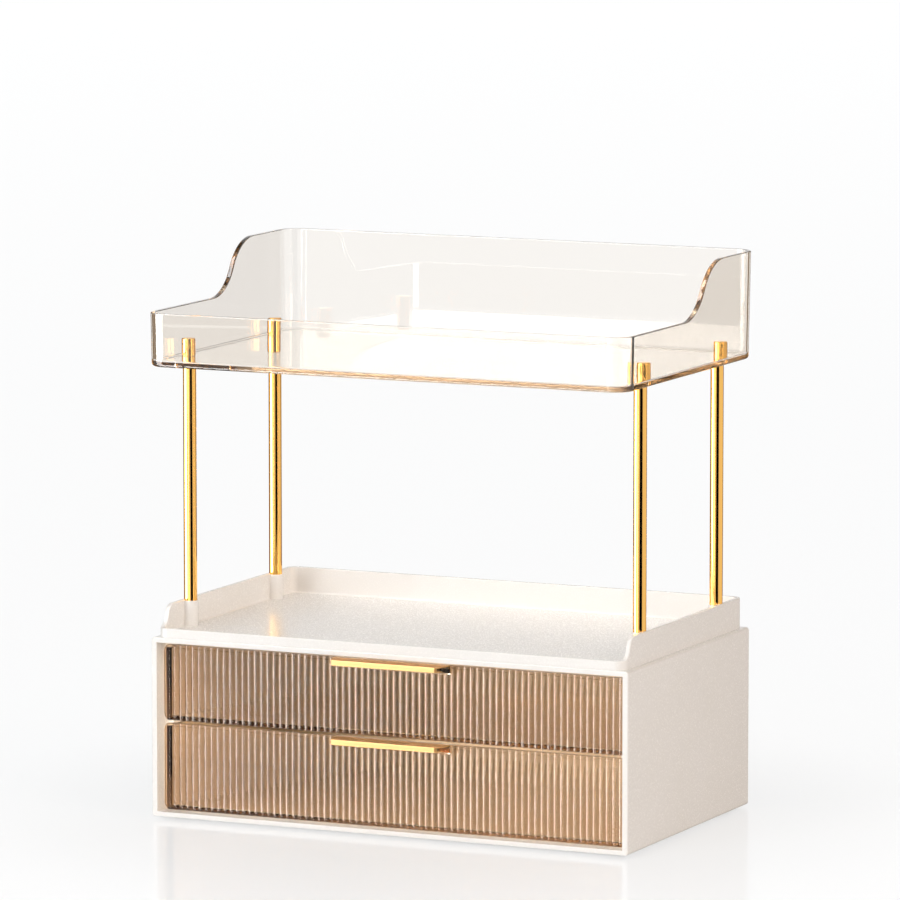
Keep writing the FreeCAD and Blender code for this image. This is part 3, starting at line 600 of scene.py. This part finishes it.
def walk_outline(half_x, front, rear, corners, curve, corner_steps=14, curve_steps=44):
    """Stops round a rounded rectangle: corner centre, outward direction and corner radius."""
    stops = []
    start, run = curve
    f, r = corners
    turns = [math.radians(90 * i / corner_steps) for i in range(corner_steps + 1)]
    waves = [math.cos(math.pi * i / curve_steps) for i in range(curve_steps + 1)]
    rise = [start + run * (1 - wave) / 2 for wave in waves]
    # No stop lands so close to a corner that it would leave a sliver.
    between = [y for y in rise if front + f + 0.2 < y < rear - r - 0.2]
    for cx, cy, size, first in (
            (half_x - f, front + f, f, -90), (half_x - r, rear - r, r, 0),
            (r - half_x, rear - r, r, 90), (f - half_x, front + f, f, 180)):
        for t in turns:
            a = math.radians(first) + t
            stops.append((cx, cy, math.cos(a), math.sin(a), size))
        if first == -90:
            stops += [(half_x - f, y, 1.0, 0.0, f) for y in between]
        if first == 90:
            stops += [(f - half_x, y, -1.0, 0.0, f) for y in reversed(between)]
    return stops


def stacked_faces(rings, count):
    """Faces between rings of points, closed at both ends."""
    faces = [tuple(reversed(range(count))), tuple(range((rings - 1) * count, rings * count))]
    for r in range(rings - 1):
        for i in range(count):
            j = (i + 1) % count
            faces.append((r * count + i, r * count + j, (r + 1) * count + j, (r + 1) * count + i))
    return faces


def loft_tray(
        half_x, front, rear, corners, wall, floor, base, low, high, curve, lean, below, rim,
        fillet):
    """A tray as one closed shell. All sizes are in millimetres, lean in degrees. below, rim and
    fillet round the edge underneath, the rim and the corner round the floor."""
    slant = math.tan(math.radians(lean))
    stops = walk_outline(half_x, front, rear, corners, curve)
    steps = 6
    arc = [math.radians(90 * i / steps) for i in range(steps + 1)]
    middle = (base + floor + fillet + low - rim) / 2
    rings = []

    def outer(z):
        return (z - base) * slant

    def inner(z):
        return (z - base - floor) * slant - wall

    def level(offset, z):
        rings.append([
            (cx + nx * (size + offset), cy + ny * (size + offset), z)
            for cx, cy, nx, ny, size in stops])

    def over_rim(face, inset, depth):
        ring = []
        for cx, cy, nx, ny, size in stops:
            z, slope = s_curve(cy + ny * size, *curve, low, high)
            grade = slope * nx
            steep = math.hypot(1.0, grade)
            z -= depth / steep
            reach = size + (outer(z) - inset if face == "outer" else inner(z) + inset)
            shift = depth * grade / steep
            ring.append((cx + nx * reach - ny * shift, cy + ny * reach + nx * shift, z))
        rings.append(ring)

    for t in arc if below else []:
        z = base + below * (1 - math.cos(t))
        level(outer(z) - below * (1 - math.sin(t)), z)
    if not below:
        level(outer(base), base)
    level(outer(middle), middle)
    for t in arc:
        over_rim("outer", rim * (1 - math.cos(t)), rim * (1 - math.sin(t)))
    for t in reversed(arc):
        over_rim("inner", rim * (1 - math.cos(t)), rim * (1 - math.sin(t)))
    level(inner(middle), middle)
    for t in arc:
        z = base + floor + fillet * (1 - math.sin(t))
        level(inner(z) - fillet * (1 - math.cos(t)), z)

    count = len(stops)
    points = [tuple(v * MM for v in p) for ring in rings for p in ring]
    return points, stacked_faces(len(rings), count)


def closed_mesh(name, points, faces):
    """A mesh whose faces all point outwards."""
    mesh = bpy.data.meshes.new(name)
    mesh.from_pydata(points, [], faces)
    face_outwards(mesh, name, merge=TINY)
    return mesh


def pin(x, y, low, high, radius, edge=0.0, facets=48):
    """Points and faces of an upright pin, in millimetres. edge rounds its top."""
    top = rounded_end(high, radius, edge, True) if edge else [(high, radius)]
    profile = [(low, radius)] + top
    turns = [2 * math.pi * i / facets for i in range(facets)]
    points = [
        ((x + r * math.cos(t)) * MM, (y + r * math.sin(t)) * MM, z * MM)
        for z, r in profile for t in turns]
    return points, stacked_faces(len(profile), facets)


def combine(piece, shapes, operation):
    """Join shapes to a piece, or cut them out of it."""
    for number, (points, faces) in enumerate(shapes):
        mesh = closed_mesh(f"{piece.name}_tool_{number}", points, faces)
        tool = link_piece("tool", mesh, piece.data.materials[0])
        change = piece.modifiers.new("change", "BOOLEAN")
        change.operation, change.solver, change.object = operation, "MANIFOLD", tool
        bake(piece)
        bpy.data.objects.remove(tool)


def corner_places(node):
    """The middles of the four nodes of a kind, in plan and in millimetres."""
    places = []
    for end in ("front", "rear"):
        for side in ("left", "right"):
            low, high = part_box(f"{node}_{end}_{side}")
            places.append(tuple(1000 * (low[axis] + high[axis]) / 2 for axis in (0, 1)))
    return places


rod_places = corner_places("rod")
print("rod places, mm:", [[round(v, 1) for v in place] for place in rod_places])


def pins_at_rods(low, high, radius, edge=0.0):
    """A pin at each rod's place, to join to a tray or to cut out of it."""
    return [pin(x, y, low, high, radius, edge) for x, y in rod_places]

# %% Lower tray
# Each rod stands in a socket in a boss, over a hole for its screw. Both cuts run on past
# the plastic, so that no thin skin is left.
BOSS_FOOT, BOSS_TOP, BOSS_RADIUS = 111.0, 127.9, 4.75
SOCKET_RADIUS, HOLE_RADIUS, CLEAR_ABOVE, CLEAR_BELOW = 4.1, 2.25, 140.0, 100.0
points, faces = loft_tray(
    half_x=151.5, front=-91.2, rear=91.0, corners=(6.5, 6.5), wall=2.8, floor=2.5, base=110.0,
    low=115.6, high=128.5, curve=(-88.8, 15.5), lean=0.0, below=0.2, rim=0.55, fillet=1.2)
lower_tray = link_piece("lower_tray", closed_mesh("lower_tray", points, faces), white_abs)
combine(lower_tray, pins_at_rods(BOSS_FOOT, BOSS_TOP, BOSS_RADIUS, 0.5), "UNION")
combine(lower_tray, pins_at_rods(ROD_FOOT, CLEAR_ABOVE, SOCKET_RADIUS), "DIFFERENCE")
combine(lower_tray, pins_at_rods(CLEAR_BELOW, ROD_FOOT + 0.5, HOLE_RADIUS), "DIFFERENCE")
shade(lower_tray, 35)
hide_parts("base_tray")
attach(lower_tray, "cabinet")

# %% Upper tray
# The caps' studs pass through four holes in the clear floor.
points, faces = loft_tray(
    half_x=155.5, front=-97.5, rear=97.5, corners=(12.0, 12.0), wall=3.0, floor=3.0,
    base=ROD_TOP, low=305.3, high=338.2, curve=(-11.5, 57.0), lean=1.0, below=2.2, rim=0.7,
    fillet=1.5)
upper_tray = link_piece(
    "upper_tray_shell", closed_mesh("upper_tray_shell", points, faces), clear_acrylic)
combine(upper_tray, pins_at_rods(ROD_TOP - 3.0, CAP_SEAT + 4.0, HOLE_RADIUS), "DIFFERENCE")
shade(upper_tray, 35)
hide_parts("upper_tray")
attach(upper_tray, "cabinet")

# %% [markdown]
# ## Fluted drawers
# Each drawer is one clear moulding: a front plate with 72 upright flutes and a thin bin
# behind it. The flutes work as small lenses that slice the view into stripes, so they need
# a true round section and no hidden faces inside. A Geometry Nodes tree makes the plate:
# it bends a grid by the rule of one flute, repeated, and closes it at the back. The bin is
# one more lofted tray, and both are joined into a single closed solid.

# %% Fluted plate with Geometry Nodes
lengths = ("Half Width", "Bottom", "Top", "Corner", "Front", "Thickness", "Flute Height", "Valley",
           "Margin", "Edge")
plate_tree, given = new_tree("fluted_plate", {
    **dict.fromkeys(lengths, "NodeSocketFloat"), "Flutes": "NodeSocketInt",
    "Finish": "NodeSocketMaterial"})
# Columns of the grid in a flute and in the flat strip at each end, and rows that round an edge.
COLUMNS, STRIPS, EDGE_ROWS = 14.0, 4.0, 3.0
ROWS = 8


def calc(operation, *values):
    """A Math node on the plate's tree."""
    made = add_node(
        plate_tree, "ShaderNodeMath", dict(enumerate(values)), operation=operation)
    return made.outputs[0]


plus, minus, times, over = (
    partial(calc, operation) for operation in ("ADD", "SUBTRACT", "MULTIPLY", "DIVIDE"))


def square(number):
    """A number times itself."""
    return times(number, number)


def within(number, low, high):
    """A number kept between two limits."""
    return calc("MINIMUM", calc("MAXIMUM", number, low), high)


def coordinates():
    """The coordinates of each point of the mesh, as three outputs."""
    here = add_node(plate_tree, "GeometryNodeInputPosition").outputs[0]
    return add_node(plate_tree, "ShaderNodeSeparateXYZ", {0: here}).outputs


# The grid's own coordinates only count its columns and rows.
columns = times(given["Flutes"], COLUMNS)
across = plus(columns, 2 * STRIPS)
grid = add_node(plate_tree, "GeometryNodeMeshGrid", {
    0: across, 1: ROWS - 1.0, 2: plus(across, 1.0), 3: ROWS})
spot = coordinates()
column = plus(spot["X"], times(across, 0.5))
row = plus(spot["Y"], (ROWS - 1.0) / 2)

# Across the plate: the flutes in the middle and a flat strip at each end.
fluted_half = minus(given["Half Width"], given["Margin"])
pitch = over(times(fluted_half, 2.0), given["Flutes"])
in_row = within(minus(column, STRIPS), 0.0, columns)
left_strip = minus(within(column, 0.0, STRIPS), STRIPS)
right_strip = within(minus(minus(column, columns), STRIPS), 0.0, STRIPS)
ends = times(plus(left_strip, right_strip), over(given["Margin"], STRIPS))
x = plus(minus(times(in_row, over(pitch, COLUMNS)), fluted_half), ends)

# Out of the plate: one flute is a circular arc over its chord, with a flat valley beside it.
phase = minus(calc("FRACT", over(in_row, COLUMNS)), 0.5)
half_chord = times(minus(pitch, given["Valley"]), 0.5)
rise = given["Flute Height"]
radius = over(plus(square(half_chord), square(rise)), times(rise, 2.0))
sideways = calc("MINIMUM", calc("ABSOLUTE", times(phase, pitch)), half_chord)
arch = calc("SQRT", minus(square(radius), square(sideways)))
bulge = minus(arch, minus(radius, rise))

# Up the plate: the first and last rows turn back to round the edge, and the corners follow
# a larger radius.
from_edge = calc("MINIMUM", row, minus(ROWS - 1.0, row))
turn = times(calc("MINIMUM", from_edge, EDGE_ROWS), math.pi / 2 / EDGE_ROWS)
inward = times(given["Edge"], minus(1.0, calc("COSINE", turn)))
back = times(given["Edge"], minus(1.0, calc("SINE", turn)))
half_height = times(minus(given["Top"], given["Bottom"]), 0.5)
flat_half = minus(given["Half Width"], given["Corner"])
beyond = calc("MAXIMUM", minus(calc("ABSOLUTE", x), flat_half), 0.0)
under_root = calc("MAXIMUM", minus(square(given["Corner"]), square(beyond)), 0.0)
corner_rise = calc("SQRT", under_root)
reach = minus(plus(minus(half_height, given["Corner"]), corner_rise), inward)
upper = calc("SIGN", minus(row, (ROWS - 1.0) / 2))
z = plus(times(plus(given["Top"], given["Bottom"]), 0.5), times(upper, reach))
y = plus(minus(given["Front"], bulge), back)
place = add_node(plate_tree, "ShaderNodeCombineXYZ", {"X": x, "Y": y, "Z": z})
face = add_node(plate_tree, "GeometryNodeSetPosition", {
    "Geometry": grid.outputs[0], "Position": place.outputs[0]})

# The fluted face is extruded without a shift, the new face is laid flat behind it, and a
# flipped copy of the fluted face closes the front.
pushed = add_node(plate_tree, "GeometryNodeExtrudeMesh", {
    "Mesh": face.outputs[0], "Offset Scale": 0.0, "Individual": False}, mode="FACES")
now = coordinates()
behind = add_node(plate_tree, "ShaderNodeCombineXYZ", {
    "X": now["X"], "Y": plus(given["Front"], given["Thickness"]), "Z": now["Z"]})
rear = add_node(plate_tree, "GeometryNodeSetPosition", {
    "Geometry": pushed.outputs["Mesh"], "Selection": pushed.outputs["Top"],
    "Position": behind.outputs[0]})
flipped = add_node(plate_tree, "GeometryNodeFlipFaces", {"Mesh": face.outputs[0]})
joined = add_node(plate_tree, "GeometryNodeJoinGeometry", {0: rear.outputs[0]})
plate_tree.links.new(flipped.outputs[0], joined.inputs[0])
closed = add_node(plate_tree, "GeometryNodeMergeByDistance", {
    "Geometry": joined.outputs[0], "Distance": 2 * WELD})
finish_tree(plate_tree, closed.outputs[0], given["Finish"])
print("plate tree nodes:", len(plate_tree.nodes))

# %% Join plate, bin and lip
# Depths in millimetres: the valleys between the flutes, the plate's back, the crests of the
# flutes and the front of the handle.
PLATE_FRONT, PLATE_REAR, CREST, HANDLE_FRONT = -83.5, -81.3, -84.5, -96.5
PLATE_SIZES = {
    "Front": PLATE_FRONT * MM, "Thickness": (PLATE_REAR - PLATE_FRONT) * MM, "Flutes": 72,
    "Flute Height": (PLATE_FRONT - CREST) * MM, "Valley": 0.25 * MM, "Corner": 3.5 * MM,
    "Margin": 1.3 * MM, "Edge": 0.35 * MM, "Finish": amber_acrylic}


def lip(top):
    """The tongue under the handle: rectangles from front to back, as y, half width and foot."""
    high, low, root = top - 0.6, top - 2.4, top - 5.8
    stations = [
        (HANDLE_FRONT + 1.2, 34.5, low), (HANDLE_FRONT + 2.3, 35.6, low),
        (HANDLE_FRONT + 4.0, 36.0, low), (CREST, 38.0, root), (PLATE_FRONT + 0.9, 38.0, root)]
    points = [
        (x * MM, y * MM, z * MM) for y, half, foot in stations
        for x, z in ((-half, foot), (half, foot), (half, high), (-half, high))]
    return points, stacked_faces(len(stations), 4)


def fluted_drawer(level):
    """One drawer as a single closed solid."""
    low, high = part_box(level + "_drawer")
    bottom, top = low[2], high[2]
    seed = bpy.data.meshes.new(level + "_drawer_moulding")
    drawer = link_piece(level + "_drawer_moulding", seed, amber_acrylic)
    grow(drawer, plate_tree, {
        "Half Width": high[0], "Bottom": bottom, "Top": top, **PLATE_SIZES})
    face_outwards(drawer.data, level + " plate", slivers=TINY)
    rim_height = 1000 * top - 2.0
    bin_shape = loft_tray(
        half_x=1000 * high[0] - 1.5, front=PLATE_FRONT + 0.5, rear=1000 * high[1],
        corners=(2.2, 5.0), wall=2.0, floor=2.0, base=1000 * bottom, low=rim_height,
        high=rim_height, curve=(0.0, 10.0), lean=0.0, below=1.2, rim=0.4, fillet=1.0)
    combine(drawer, [bin_shape, lip(1000 * top)], "UNION")
    shade(drawer, 28)
    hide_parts(level + "_drawer")
    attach(drawer, level + "_drawer_unit")
    print(drawer.name, "faces:", len(drawer.data.polygons))


for level in ("upper", "lower"):
    fluted_drawer(level)

# %% [markdown]
# ## Small parts that keep their CAD shape
# The silicone feet and the hidden screws are right as they are, so they only get their
# finishes.

# %% Finishes for the plain nodes
for start, finish in (("foot", silicone), ("rod_screw", zinc_steel)):
    for name, node in nodes.items():
        if name.startswith(start) and not node.hide_render:
            node.data.materials.clear()
            node.data.materials.append(finish)
print("CAD nodes still shown:", sorted(n for n, o in nodes.items() if not o.hide_render))
